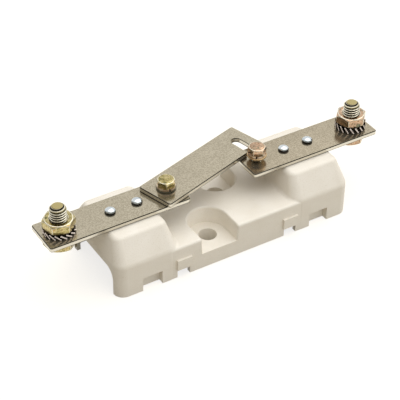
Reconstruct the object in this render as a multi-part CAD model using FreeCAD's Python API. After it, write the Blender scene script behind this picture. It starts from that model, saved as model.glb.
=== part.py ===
# Disconnectable neutral terminal: a moulded base carries two flat copper bars, each with an M10
# terminal bolt, joined by a link that swings on one screw and hooks under the head of another.
# Millimetres, +X along the bars, +Y to the rear, +Z up, origin at the centre of the mounting plane.
import FreeCAD
import Part

import math
import os

from FreeCAD import Vector

# Base moulding
base_length = 161.0
base_depth = 60.0
skirt_wall = 3.0
corner_radius = 6.5
platform_height = 21.5
platform_thickness = 3.0
platform_edge_radius = 1.6

# Towers that carry the bars
tower_height = 36.0
tower_inner_foot = 39.5
tower_end_taper = 3.5
tower_side_taper = 9.7
tower_corner_radius = 4.5
tower_shoulder_radius = 5.5
tower_edge_radius = 3.5
tower_foot_radius = 2.5
tower_proud = 0.1
tower_roof = 5.0

# Recesses for the fixing screws
fixing_x = 12.5
fixing_y = 16.0
fixing_hole_radius = 5.5
recess_radius = 12.5
recess_draft = 0.7
recess_floor = 10.5
recess_wall = 2.5
recess_rim_radius = 1.0
boss_radius = 9.0

# Skirt openings
arch_half_width = 23.6
arch_height = 17.0
arch_radius = 7.0
notch_near = 51.5
notch_width = 13.0
notch_height = 9.3
notch_depth = 4.0
notch_wall = 2.2
slot_near = 33.0
slot_width = 8.5
slot_height = 6.0
lug_overlap = 1.0
lug_height = 7.0
lug_depth = 1.3
rib_thickness = 2.4
rib_foot = 6.0

# Bars
bar_width = 25.0
bar_thickness = 3.0
bar_inner_margin = 9.5
bar_outer_margin = 11.5
bar_corner = 1.5
bar_edge = 0.35
stop_width = 2.2
stop_depth = 5.0
stop_offset = 4.7

# Rivets
rivet_spacing = 17.5
rivet_shift = 0.25
rivet_radius = 1.9
rivet_head_radius = 3.3
rivet_head_height = 2.6
rivet_tail_radius = 3.2
rivet_tail_height = 1.6
rivet_boss_radius = 5.2
rivet_boss_height = 6.0
rivet_clearance = 0.05

# Terminal bolts, M10
terminal_overhang = 20.5
terminal_radius = 5.0
terminal_clearance = 0.25
terminal_length = 20.8
terminal_end_chamfer = 1.8
terminal_head_flats = 17.0
terminal_head_height = 6.4
terminal_turn = -18.0
terminal_nut_height = 6.0
terminal_nut_turns = {"left": -18.0, "right": -14.0}
nut_clearance = 0.05
nut_sink = 0.5

# Toothed lock washers, one pressed flatter than the other
tooth_count = 18
tooth_root_width = 2.4
tooth_tip_width = 4.8
tooth_thickness = 0.8
tooth_tip = 9.6
tooth_root = 6.5
tooth_ring = 7.0
tooth_ring_thickness = 0.9
tooth_angles = {"left": 37.4, "right": 56.5}

# Link and its screws, M6
link_pivot_setback = 8.0
link_width = 25.0
link_thickness = 3.0
link_end_margin = 10.0
link_corner = 1.4
link_angle = 17.0
link_screw_radius = 3.0
link_running_clearance = 0.08
link_slot_clearance = 0.4
link_screw_length = 16.0
link_screw_flats = 10.0
link_screw_head = 4.0
link_screw_end_chamfer = 0.7
link_screw_turns = {"left": 4.0, "right": -25.0}
link_lift = 0.2
link_nut_height = 5.0
spring_washer_radius = 5.6
spring_washer_thickness = 1.4
spring_washer_gap = 0.9
spring_washer_slant = 35.0
small_washer_radius = 6.0
small_washer_thickness = 1.0
small_washer_clearance = 0.2

# Worked out from the values above
bar_top = tower_height + bar_thickness
tower_outer_foot = base_length / 2
terminal_x = tower_outer_foot + terminal_overhang
link_pivot_x = tower_inner_foot - link_pivot_setback
link_reach = 2 * link_pivot_x
bar_inner_end = link_pivot_x - bar_inner_margin
bar_outer_end = terminal_x + bar_outer_margin
rivet_middle = (tower_inner_foot + tower_outer_foot) / 2 - rivet_shift
rivet_positions = (rivet_middle - rivet_spacing / 2, rivet_middle + rivet_spacing / 2)
up = Vector(0, 0, 1)


def box(x0, x1, y0, y1, z0, z1):
    return Part.makeBox(x1 - x0, y1 - y0, z1 - z0, Vector(x0, y0, z0))


def rod(x, y, z0, z1, radius):
    return Part.makeCylinder(radius, z1 - z0, Vector(x, y, z0))


def joined(shapes):
    whole = shapes[0].fuse(shapes[1:]) if len(shapes) > 1 else shapes[0]
    return whole.removeSplitter()


def half_turned(shape):
    """The same shape on the other side of the vertical centre line."""
    copy = shape.copy()
    copy.rotate(Vector(0, 0, 0), up, 180)
    return copy


def both_sides(shape):
    return [shape, half_turned(shape)]


def rounded_outline(x0, x1, y0, y1, radius, z):
    """A closed rectangular wire with round corners, at height z."""
    corners = [
        (x1 - radius, y0 + radius, -90),
        (x1 - radius, y1 - radius, 0),
        (x0 + radius, y1 - radius, 90),
        (x0 + radius, y0 + radius, 180),
    ]
    arcs = []
    for cx, cy, start in corners:
        circle = Part.Circle(Vector(cx, cy, z), up, radius)
        arcs.append(circle.toShape(math.radians(start), math.radians(start + 90)))
    edges = []
    for arc, following in zip(arcs, arcs[1:] + arcs[:1]):
        edges.append(arc)
        edges.append(Part.makeLine(arc.Vertexes[-1].Point, following.Vertexes[0].Point))
    return Part.Wire(edges)


def rounded_block(x0, x1, y0, y1, radius, z0, z1):
    face = Part.Face(rounded_outline(x0, x1, y0, y1, radius, z0))
    return face.extrude(Vector(0, 0, z1 - z0))


def chosen_edges(shape, test):
    return [edge for edge in shape.Edges if test(edge)]


def hex_prism(x, z0, z1, flats, turn, bevel_low=True, bevel_high=True):
    """A hexagon across the given flats, with its corners bevelled at 30 degrees."""
    corner = flats / math.sqrt(3)
    points = []
    for step in range(7):
        angle = math.radians(turn + 60 * step)
        points.append(Vector(x + corner * math.cos(angle), corner * math.sin(angle), z0))
    prism = Part.Face(Part.makePolygon(points)).extrude(Vector(0, 0, z1 - z0))
    rise = (corner - 0.475 * flats) * math.tan(math.radians(30))
    low = rise if bevel_low else 0
    high = rise if bevel_high else 0
    profile = [
        Vector(x, 0, z0),
        Vector(x + (0.475 * flats if bevel_low else corner), 0, z0),
        Vector(x + corner, 0, z0 + low),
        Vector(x + corner, 0, z1 - high),
        Vector(x + (0.475 * flats if bevel_high else corner), 0, z1),
        Vector(x, 0, z1),
    ]
    points = [point for i, point in enumerate(profile) if i == 0 or (point - profile[i - 1]).Length > 1e-6]
    lathe = Part.Face(Part.makePolygon(points + points[:1])).revolve(Vector(x, 0, 0), up, 360)
    return prism.common(lathe)


def level_edges(shape, z):
    return chosen_edges(shape, lambda e: all(abs(v.Z - z) < 1e-4 for v in e.Vertexes))


def tower_form(inset, z0, z1):
    """A tower between two heights, its tapered walls moved inwards by the inset."""
    span = tower_height - platform_height
    wires = []
    for z in (z0, z1):
        share = (z - platform_height) / span
        x0 = tower_inner_foot + share * tower_end_taper + inset
        x1 = tower_outer_foot - share * tower_end_taper - inset
        half = base_depth / 2 - share * tower_side_taper - inset
        radius = corner_radius + share * (tower_corner_radius - corner_radius) - inset
        wires.append(rounded_outline(x0, x1, -half, half, radius, z))
    return Part.makeLoft(wires, True, True)


def outer_form():
    """Skirt, platform and towers as one solid block with softened edges."""
    half_length = base_length / 2
    half_depth = base_depth / 2
    foot = rounded_block(tower_inner_foot, half_length, -half_depth, half_depth, corner_radius, 0, platform_height)
    tower = joined([foot, tower_form(0, platform_height, tower_height)])
    tower = tower.makeFillet(tower_shoulder_radius, level_edges(tower, platform_height))
    tower = tower.makeFillet(tower_edge_radius, level_edges(tower, tower_height))
    half_length -= tower_proud
    half_depth -= tower_proud
    block = rounded_block(-half_length, half_length, -half_depth, half_depth, corner_radius, 0, platform_height)
    block = block.makeFillet(platform_edge_radius, level_edges(block, platform_height))
    body = joined([block] + both_sides(tower))
    towards_tower = [edge for edge in level_edges(body, platform_height)
                     if abs(edge.Vertexes[0].Y - edge.Vertexes[-1].Y) > 1e-3]
    return body.makeFillet(tower_foot_radius, towards_tower)


def recess(x, y):
    """A round-ended pocket open to the front, its walls drafted, around one fixing hole."""
    front = -base_depth / 2 - 5
    wires = []
    for z, radius in ((recess_floor, recess_radius - recess_draft), (platform_height + 1, recess_radius)):
        arc = Part.Circle(Vector(x, y, z), up, radius).toShape(0, math.pi)
        right, left = arc.Vertexes[0].Point, arc.Vertexes[-1].Point
        lines = [
            Part.makeLine(left, Vector(left.x, front, z)),
            Part.makeLine(Vector(left.x, front, z), Vector(right.x, front, z)),
            Part.makeLine(Vector(right.x, front, z), right),
        ]
        wires.append(Part.Wire([arc] + lines))
    return Part.makeLoft(wires, True, True)


def recess_housing(x, y):
    """The material round a pocket that stays standing inside the hollow underside."""
    radius = recess_radius + recess_wall
    low = recess_floor - recess_wall
    ring = rod(x, y, low, platform_height, radius)
    front = box(x - radius, x + radius, -base_depth / 2, y, low, platform_height)
    return joined([ring, front])


def hollow():
    """The space under the moulding, less everything that stands in it."""
    inset = skirt_wall
    half_length = base_length / 2 - inset
    half_depth = base_depth / 2 - inset
    radius = corner_radius - inset
    ceiling = platform_height - platform_thickness
    space = rounded_block(-half_length, half_length, -half_depth, half_depth, radius, -1, ceiling)
    tower = tower_form(inset, ceiling, tower_height - tower_roof)
    space = joined([space] + both_sides(tower))
    keep = [recess_housing(-fixing_x, -fixing_y), rod(-fixing_x, -fixing_y, 0, recess_floor, boss_radius)]
    notch_far = notch_near + notch_width
    for side in (-1, 1):
        near, far = sorted((side * (notch_near - notch_wall), side * (notch_far + notch_wall)))
        deep = -base_depth / 2 + notch_depth + notch_wall
        keep.append(box(near, far, -base_depth / 2, deep, 0, notch_height + notch_wall))
    rib_x = tower_inner_foot + tower_end_taper
    keep.append(box(rib_x, rib_x + rib_thickness, -half_depth, half_depth, rib_foot, ceiling + 2))
    for x in rivet_positions:
        roof_under = tower_height - tower_roof
        keep.append(rod(x, 0, roof_under - rivet_boss_height, roof_under, rivet_boss_radius))
    rib = box(rivet_positions[0], rivet_positions[-1], -rib_thickness / 2, rib_thickness / 2,
              tower_height - tower_roof - rivet_boss_height, tower_height - tower_roof)
    keep.append(rib)
    standing = joined([piece for shape in keep for piece in both_sides(shape)])
    return space.cut(standing)


def arch():
    """The opening in an end wall, with round upper corners."""
    tall = rounded_block(-arch_half_width, arch_half_width, -arch_height, arch_height, arch_radius, 0, 10)
    tall.rotate(Vector(0, 0, 0), Vector(1, 0, 0), 90)
    tall.rotate(Vector(0, 0, 0), up, 90)
    tall.translate(Vector(base_length / 2 - 5, 0, 0))
    return tall


def skirt_cuts():
    front = -base_depth / 2
    cuts = [arch()]
    for side in (-1, 1):
        near, far = sorted((side * notch_near, side * (notch_near + notch_width)))
        cuts.append(box(near, far, front - 1, front + notch_depth, -1, notch_height))
        near, far = sorted((side * slot_near, side * (slot_near + slot_width)))
        cuts.append(box(near, far, front - lug_depth - 1, front + skirt_wall + 0.5, -1, slot_height))
    return [cut for shape in cuts for cut in both_sides(shape)]


def skirt_lugs():
    """The small ledges that stand proud of the skirt over each slot."""
    front = -base_depth / 2
    lugs = []
    for side in (-1, 1):
        ends = (side * (slot_near - lug_overlap), side * (slot_near + slot_width + lug_overlap / 2))
        near, far = sorted(ends)
        lugs += both_sides(box(near, far, front - lug_depth, front + 1, slot_height, slot_height + lug_height))
    return lugs


def base():
    body = outer_form().cut(hollow())
    body = body.cut(both_sides(recess(-fixing_x, -fixing_y)))
    rim_span = fixing_x + recess_radius
    rims = [edge for edge in level_edges(body, platform_height)
            if all(abs(v.X) < rim_span for v in edge.Vertexes)]
    body = body.makeFillet(recess_rim_radius, rims)
    body = body.cut(both_sides(rod(-fixing_x, -fixing_y, -1, recess_floor + 1, fixing_hole_radius)))
    body = body.cut(skirt_cuts())
    body = body.fuse(skirt_lugs())
    holes = []
    for x in rivet_positions:
        holes += both_sides(rod(x, 0, tower_height / 2, tower_height + 1, rivet_radius + rivet_clearance))
    return body.cut(holes).removeSplitter()


def bar():
    """The right-hand bar, with a lug bent down at its rear edge beside the bolt head."""
    half = bar_width / 2
    plate = rounded_block(bar_inner_end, bar_outer_end, -half, half, bar_corner, tower_height, bar_top)
    rims = chosen_edges(plate, lambda e: abs(e.Vertexes[0].Z - e.Vertexes[-1].Z) < 1e-6)
    plate = plate.makeChamfer(bar_edge, rims)
    near = terminal_x - stop_offset
    stop = box(near - stop_width, near, half - bar_thickness, half - bar_edge,
               tower_height - stop_depth, tower_height + bar_edge)
    holes = [rod(x, 0, tower_height - 1, bar_top + 1, rivet_radius + rivet_clearance) for x in rivet_positions]
    holes.append(rod(terminal_x, 0, tower_height - 1, bar_top + 1, terminal_radius + terminal_clearance))
    holes.append(rod(link_pivot_x, 0, tower_height - 1, bar_top + 1, link_screw_radius + terminal_clearance))
    return plate.fuse(stop).cut(holes).removeSplitter()


def rivet(x):
    """A domed head, its shank through bar and roof, and the tail set against the boss."""
    roof_under = tower_height - tower_roof - rivet_boss_height
    head = rivet_head_height
    wide = rivet_head_radius
    sphere = (wide * wide + head * head) / (2 * head)
    slope = math.asin(wide / sphere) / 2
    top = bar_top + head
    middle = Vector(x + sphere * math.sin(slope), 0, top - sphere + sphere * math.cos(slope))
    dome = Part.Arc(Vector(x, 0, top), middle, Vector(x + wide, 0, bar_top)).toShape()
    tail_low = roof_under - rivet_tail_height
    points = [
        Vector(x + wide, 0, bar_top),
        Vector(x + rivet_radius, 0, bar_top),
        Vector(x + rivet_radius, 0, roof_under),
        Vector(x + rivet_tail_radius, 0, roof_under),
        Vector(x + rivet_radius, 0, tail_low),
        Vector(x, 0, tail_low),
        Vector(x, 0, top),
    ]
    outline = Part.Wire([dome] + Part.makePolygon(points).Edges)
    return Part.Face(outline).revolve(Vector(x, 0, 0), up, 360)


def bolt(x, seat, end, radius, flats, head, turn, end_chamfer):
    """A hexagon screw: its head starts at the seat and its shank runs to the end."""
    direction = 1 if end > seat else -1
    outer = seat - direction * head
    low, high = sorted((seat, outer))
    hexagon = hex_prism(x, low, high, flats, turn, bevel_low=direction > 0, bevel_high=direction < 0)
    low, high = sorted((seat, end))
    shank = rod(x, 0, low, high, radius)
    tip = chosen_edges(shank, lambda e: all(abs(v.Z - end) < 1e-6 for v in e.Vertexes))
    shank = shank.makeChamfer(end_chamfer, tip)
    return joined([hexagon, shank])


def nut(x, low, height, flats, radius, turn):
    """A hexagon nut with a countersink at each mouth of its bore."""
    body = hex_prism(x, low, low + height, flats, turn)
    bore = radius + nut_clearance
    wide = bore + nut_sink
    profile = [
        Vector(x, 0, low),
        Vector(x + wide, 0, low),
        Vector(x + bore, 0, low + nut_sink),
        Vector(x + bore, 0, low + height - nut_sink),
        Vector(x + wide, 0, low + height),
        Vector(x, 0, low + height),
        Vector(x, 0, low),
    ]
    return body.cut(Part.Face(Part.makePolygon(profile)).revolve(Vector(x, 0, 0), up, 360))


def ring(x, low, thickness, inner, outer):
    return rod(x, 0, low, low + thickness, outer).cut(rod(x, 0, low - 1, low + thickness + 1, inner))


def tooth_height(side, radius):
    """How tall a twisted tooth stands at this distance from the bolt's axis."""
    flare = (radius - tooth_root) / (tooth_tip - tooth_root)
    width = tooth_root_width + flare * (tooth_tip_width - tooth_root_width)
    angle = math.radians(tooth_angles[side])
    return width * math.sin(angle) + tooth_thickness * math.cos(angle)


def lock_washer(x, low, side):
    """A flat ring with flared teeth, each twisted about its own radial line so that it bites both faces."""
    inner = terminal_radius + terminal_clearance
    middle = low + tooth_height(side, tooth_tip) / 2
    core = ring(x, middle - tooth_ring_thickness / 2, tooth_ring_thickness, inner, tooth_ring)
    half_thick = tooth_thickness / 2
    flare = [
        Vector(tooth_root, -tooth_root_width / 2, -half_thick),
        Vector(tooth_tip, -tooth_tip_width / 2, -half_thick),
        Vector(tooth_tip, tooth_tip_width / 2, -half_thick),
        Vector(tooth_root, tooth_root_width / 2, -half_thick),
        Vector(tooth_root, -tooth_root_width / 2, -half_thick),
    ]
    blank = Part.Face(Part.makePolygon(flare)).extrude(Vector(0, 0, tooth_thickness))
    blank.rotate(Vector(0, 0, 0), Vector(1, 0, 0), -tooth_angles[side])
    teeth = []
    for step in range(tooth_count):
        tooth = blank.copy()
        tooth.rotate(Vector(0, 0, 0), up, 360 * step / tooth_count)
        tooth.translate(Vector(x, 0, middle))
        teeth.append(tooth)
    return core.fuse(teeth)


def spring_washer(x, low, turn):
    """A square-section ring cut through by one slanting gap."""
    body = ring(x, low, spring_washer_thickness, link_screw_radius + small_washer_clearance, spring_washer_radius)
    gap = box(0, spring_washer_radius + 2, -spring_washer_gap / 2, spring_washer_gap / 2, -5, 5)
    gap.rotate(Vector(0, 0, 0), Vector(1, 0, 0), spring_washer_slant)
    gap.rotate(Vector(0, 0, 0), up, turn)
    gap.translate(Vector(x, 0, low + spring_washer_thickness / 2))
    return body.cut(gap)


def link():
    """The flat link, closed over its pivot hole and slotted from its front edge on the swing's arc."""
    half = link_width / 2
    low, high = bar_top, bar_top + link_thickness
    plate = rounded_block(-link_end_margin, link_reach + link_end_margin, -half, half, link_corner, low, high)
    rims = chosen_edges(plate, lambda e: abs(e.Vertexes[0].Z - e.Vertexes[-1].Z) < 1e-6)
    plate = plate.makeChamfer(bar_edge, rims)
    slot_radius = link_screw_radius + link_slot_clearance
    sweep = 1.6 * math.degrees(math.asin(half / link_reach))
    track = ring(0, low - 1, link_thickness + 2, link_reach - slot_radius, link_reach + slot_radius)
    wedge_radius = 2 * link_reach
    wedge = Part.makeCylinder(wedge_radius, link_thickness + 2, Vector(0, 0, low - 1), up, sweep)
    wedge.rotate(Vector(0, 0, 0), up, -sweep)
    slot = track.common(wedge).fuse(rod(link_reach, 0, low - 1, high + 1, slot_radius))
    hole = rod(0, 0, low - 1, high + 1, link_screw_radius + link_running_clearance)
    plate = plate.cut([slot, hole])
    plate.rotate(Vector(0, 0, 0), up, link_angle)
    plate.translate(Vector(-link_pivot_x, 0, 0))
    return plate.removeSplitter()


def terminal_parts(side):
    """Bolt, lock washer and nut at one end of the terminal."""
    x = terminal_x if side == "right" else -terminal_x
    nut_face_radius = 0.475 * terminal_head_flats
    nut_low = bar_top + (tooth_height(side, tooth_tip) + tooth_height(side, nut_face_radius)) / 2
    return {
        "terminal_bolt_" + side: bolt(x, tower_height, tower_height + terminal_length, terminal_radius,
                                      terminal_head_flats, terminal_head_height, terminal_turn,
                                      terminal_end_chamfer),
        "lock_washer_" + side: lock_washer(x, bar_top, side),
        "terminal_nut_" + side: nut(x, nut_low, terminal_nut_height, terminal_head_flats,
                                    terminal_radius, terminal_nut_turns[side]),
    }


def link_screw_parts(side):
    """Screw, washers and nut that hold one end of the link; the right screw is backed out."""
    x = link_pivot_x if side == "right" else -link_pivot_x
    washer_low = bar_top + link_thickness
    if side == "right":
        washer_low += link_lift
    spring_low = washer_low + small_washer_thickness
    seat = spring_low + spring_washer_thickness
    inner = link_screw_radius + small_washer_clearance
    turn = link_screw_turns[side]
    return {
        "link_screw_" + side: bolt(x, seat, seat - link_screw_length, link_screw_radius, link_screw_flats,
                                   link_screw_head, turn, link_screw_end_chamfer),
        "link_washer_" + side: ring(x, washer_low, small_washer_thickness, inner, small_washer_radius),
        "link_spring_washer_" + side: spring_washer(x, spring_low, turn - 100),
        "link_nut_" + side: nut(x, tower_height - link_nut_height, link_nut_height, link_screw_flats,
                                link_screw_radius, turn),
    }


parts = {
    "base": base(),
    "bar_right": bar(),
    "bar_left": half_turned(bar()),
    "link": link(),
}
for side, sign in (("left", -1), ("right", 1)):
    for place, x in zip(("inner", "outer"), rivet_positions):
        parts["rivet_" + side + "_" + place] = rivet(sign * x)
    parts.update(terminal_parts(side))
    parts.update(link_screw_parts(side))

os.makedirs("parts", exist_ok=True)
for name, shape in parts.items():
    shape.exportStep("parts/" + name + ".step")
    print(name, len(shape.Solids), "solid", round(shape.Volume, 1), "mm3", shape.isValid())
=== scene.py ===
import math

import bmesh
import bpy
from mathutils import Matrix, Vector


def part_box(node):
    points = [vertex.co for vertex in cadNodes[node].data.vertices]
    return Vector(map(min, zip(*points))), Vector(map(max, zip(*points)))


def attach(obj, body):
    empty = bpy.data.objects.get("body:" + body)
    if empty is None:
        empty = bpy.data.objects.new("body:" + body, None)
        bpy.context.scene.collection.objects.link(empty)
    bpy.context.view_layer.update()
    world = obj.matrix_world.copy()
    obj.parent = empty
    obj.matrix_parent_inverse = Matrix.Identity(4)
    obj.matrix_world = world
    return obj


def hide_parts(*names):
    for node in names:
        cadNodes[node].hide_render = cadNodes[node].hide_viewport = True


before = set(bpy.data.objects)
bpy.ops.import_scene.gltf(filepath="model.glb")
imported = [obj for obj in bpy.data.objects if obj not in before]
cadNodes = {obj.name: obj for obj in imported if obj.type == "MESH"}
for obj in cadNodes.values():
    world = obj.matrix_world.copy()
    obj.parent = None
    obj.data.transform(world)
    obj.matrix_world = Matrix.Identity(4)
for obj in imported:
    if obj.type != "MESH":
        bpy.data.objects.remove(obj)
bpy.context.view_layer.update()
sides = ("left", "right")
mm = 0.001
print("frame loaded:", len(cadNodes), "nodes")


def middleX(node):  # mm
    low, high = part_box(node)
    return (low.x + high.x) / 2 / mm


def linearColour(code):  # sRGB hex to the linear values the shaders take
    channels = [int(code[i:i + 2], 16) / 255 for i in (1, 3, 5)]
    return [c / 12.92 if c <= 0.04045 else ((c + 0.055) / 1.055) ** 2.4 for c in channels] + [1.0]


def addNode(tree, kind, settings=None, inputs=None, stops=None):  # inputs: by name or number, or in order
    node = tree.nodes.new(kind)
    for name, value in (settings or {}).items():
        setattr(node, name, value)
    listed = inputs.items() if isinstance(inputs, dict) else enumerate(inputs or [])
    for key, value in listed:
        if isinstance(value, bpy.types.Node):  # a node stands for its first output in use
            value = next(output for output in value.outputs if output.enabled)
        if isinstance(value, bpy.types.NodeSocket):
            tree.links.new(value, node.inputs[key])
        else:
            node.inputs[key].default_value = value
    if stops:
        ramp = node.color_ramp.elements
        while len(ramp) < len(stops):
            ramp.new(0.5)
        for element, (place, code) in zip(ramp, stops):
            element.position = place
            element.color = linearColour(code)
    return node


def startMaterial(name):
    material = bpy.data.materials.new(name)
    material.use_nodes = True
    material.node_tree.nodes.clear()
    coords = addNode(material.node_tree, "ShaderNodeTexCoord").outputs["Object"]
    return material, material.node_tree, coords


def finishMaterial(material, shaderValues):
    shader = addNode(material.node_tree, "ShaderNodeBsdfPrincipled", inputs=shaderValues)
    addNode(material.node_tree, "ShaderNodeOutputMaterial", inputs={"Surface": shader})
    return material


# materials

white = "#FFFFFF"
beneath, onTop = 6, 7  # the two colour inputs of a Mix node
noiseLow, noiseHigh = 0.3, 0.7  # nearly all of a noise lies between these

mouldingLook = {
    "cloudSize": 14.0,  # mm, slow change of shade where the compound flowed
    "pale": "#F3EDE1",
    "deep": "#EDE6D8",
    "grainSize": 0.5,  # mm, filler specks, coarser than real so that they show
    "grainHeight": 0.012,
    "grainStops": [(0.32, "#DCD2BF"), (0.42, white)],
    "grainStrength": 0.35,
    "roughness": (0.38, 0.5),
}


def creamMouldingCompound():  # compression-moulded thermoset: satin skin, faint cloudiness and filler specks
    look = mouldingLook
    material, tree, coords = startMaterial("creamMouldingCompound")
    clouds = addNode(tree, "ShaderNodeTexNoise", inputs={
        "Vector": coords, "Scale": 1 / (look["cloudSize"] * mm), "Detail": 3.0, "Roughness": 0.55})
    grain = addNode(tree, "ShaderNodeTexNoise", inputs={
        "Vector": coords, "Scale": 1 / (look["grainSize"] * mm), "Detail": 2.0, "Roughness": 0.6})
    shade = addNode(tree, "ShaderNodeValToRGB", inputs={"Fac": clouds},
                    stops=[(noiseLow, look["deep"]), (noiseHigh, look["pale"])])
    specks = addNode(tree, "ShaderNodeValToRGB", inputs={"Fac": grain}, stops=look["grainStops"])
    colour = addNode(tree, "ShaderNodeMix", {"data_type": "RGBA", "blend_type": "MULTIPLY"}, {
        "Factor": look["grainStrength"], beneath: shade, onTop: specks})
    sheen = addNode(tree, "ShaderNodeMapRange", inputs={
        "Value": clouds, "From Min": noiseLow, "From Max": noiseHigh,
        "To Min": look["roughness"][0], "To Max": look["roughness"][1]})
    bump = addNode(tree, "ShaderNodeBump", inputs={
        "Height": grain, "Strength": 0.5, "Distance": look["grainHeight"] * mm})
    return finishMaterial(material, {"Base Color": colour, "Roughness": sheen, "Normal": bump, "IOR": 1.5})


barLook = {
    "cloudSize": 11.0,  # mm, slow change of shade in the tin
    "pale": "#BDB49F",
    "deep": "#B6AD98",
    "grainSize": 0.9,  # mm, crystals of the tin, coarser than real so that they show
    "grainStops": [(0.36, "#D2CFC8"), (0.6, white)],
    "grainStrength": 0.6,
    "lineSpacing": 0.6,  # mm, rolling lines of the copper under the tin, coarser than real so that they show
    "lineLength": 22.0,
    "lineHeight": 0.003,
    "corner": "#3F3C33",  # painted dark reflection along the chamfers
    "chamferReflectionRise": (0.004, 0.012),  # of the thickness, from the flat face to where the corner has its colour
    "edge": "#DAD5C7",  # painted reflection of the white floor, lightening the sheared faces
    "edgeReflectionRise": (0.17, 0.22),
    "lugShade": "#6C695F",  # painted shade on the lug, which hangs in the bar's shadow
    "lugDrop": 0.05,  # mm, under the flat of the bar
    "metallic": 0.85,
    "roughness": (0.13, 0.22),
}


def tinPlatedCopper(name, turn, tone=white):  # rolled strip, tinned: warm grey, soft clear reflections
    look = barLook
    linkLow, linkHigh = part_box("link")
    thickness = linkHigh.z - linkLow.z  # the link lies on the bars and is cut from the same strip
    underside = linkLow.z - thickness
    material, tree, coords = startMaterial(name)
    along = addNode(tree, "ShaderNodeMapping", {"vector_type": "TEXTURE"}, {
        "Vector": coords, "Rotation": (0, 0, math.radians(turn)),
        "Scale": (look["lineLength"] / look["lineSpacing"], 1, 1)})
    lines = addNode(tree, "ShaderNodeTexNoise", inputs={
        "Vector": along, "Scale": 1 / (look["lineSpacing"] * mm), "Detail": 3.0})
    clouds = addNode(tree, "ShaderNodeTexNoise", inputs={
        "Vector": coords, "Scale": 1 / (look["cloudSize"] * mm), "Detail": 2.0})
    grain = addNode(tree, "ShaderNodeTexNoise", inputs={
        "Vector": coords, "Scale": 1 / (look["grainSize"] * mm), "Detail": 1.0})
    shade = addNode(tree, "ShaderNodeValToRGB", inputs={"Fac": clouds},
                    stops=[(noiseLow, look["deep"]), (noiseHigh, look["pale"])])
    specks = addNode(tree, "ShaderNodeValToRGB", inputs={"Fac": grain}, stops=look["grainStops"])
    colour = shade
    for strength, paint in ((look["grainStrength"], specks), (1.0, linearColour(tone))):
        colour = addNode(tree, "ShaderNodeMix", {"data_type": "RGBA", "blend_type": "MULTIPLY"}, {
            "Factor": strength, beneath: colour, onTop: paint})
    height = addNode(tree, "ShaderNodeSeparateXYZ", inputs=[coords]).outputs["Z"]
    level = addNode(tree, "ShaderNodeMath", {"operation": "DIVIDE"}, [height, thickness])
    # the plates lie at whole multiples of their thickness: 0 on a flat face, 0.5 half-way up an edge
    rise = addNode(tree, "ShaderNodeMath", {"operation": "PINGPONG"}, [level, 0.5])
    # chamfer carries the painted dark reflection, sheared the painted reflection of the floor
    chamfer, sheared = (
        addNode(tree, "ShaderNodeMapRange", inputs={"Value": rise, "From Min": low, "From Max": high})
        for low, high in (look["chamferReflectionRise"], look["edgeReflectionRise"]))
    # painted shade on the lug, below the bar's underside
    underBar = addNode(tree, "ShaderNodeMath", {"operation": "LESS_THAN"}, [
        height, underside - look["lugDrop"] * mm])
    for mask, paint in ((chamfer, "corner"), (sheared, "edge"), (underBar, "lugShade")):
        colour = addNode(tree, "ShaderNodeMix", {"data_type": "RGBA"}, {
            "Factor": mask, beneath: colour, onTop: linearColour(look[paint])})
    sheen = addNode(tree, "ShaderNodeMapRange", inputs={
        "Value": lines, "From Min": noiseLow, "From Max": noiseHigh,
        "To Min": look["roughness"][0], "To Max": look["roughness"][1]})
    bump = addNode(tree, "ShaderNodeBump", inputs={
        "Height": lines, "Strength": 0.4, "Distance": look["lineHeight"] * mm})
    return finishMaterial(material, {
        "Base Color": colour, "Metallic": look["metallic"], "Roughness": sheen, "Normal": bump})


zincLook = {
    "patchSize": 2.6,  # mm, the dip dries in small patches of gold, green and rose
    "goldStops": [(0.31, "#697052"), (0.43, "#A6985F"), (0.57, "#CCBF8E"), (0.7, "#B79B68")],
    "roseStops": [(0.31, "#636D59"), (0.43, "#B0957B"), (0.57, "#CDAF93"), (0.7, "#B78E6C")],
    "pitSize": 0.8,  # mm, pits and dark specks, coarser than real so that they show
    "pitHeight": 0.006,
    "pitStops": [(0.34, "#8E8272"), (0.5, white)],
    "pitStrength": 0.7,
    "point": "#AA9D6F",  # the sawn and pointed end, rougher and yellower
    "pointRoughness": 0.5,
    "thread": "#E2DCC8",  # painted highlight: the threads painted paler than the rest of the bolt
    "threadHighlightFrom": (0.05, 0.15),  # of the groove value, which is 0 off the thread and 1 in its root
    "root": "#1E1B12",  # painted shade in the thread's roots
    "rootShadeFrom": (0.36, 0.6),
    "roughness": (0.26, 0.14),
}


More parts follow.
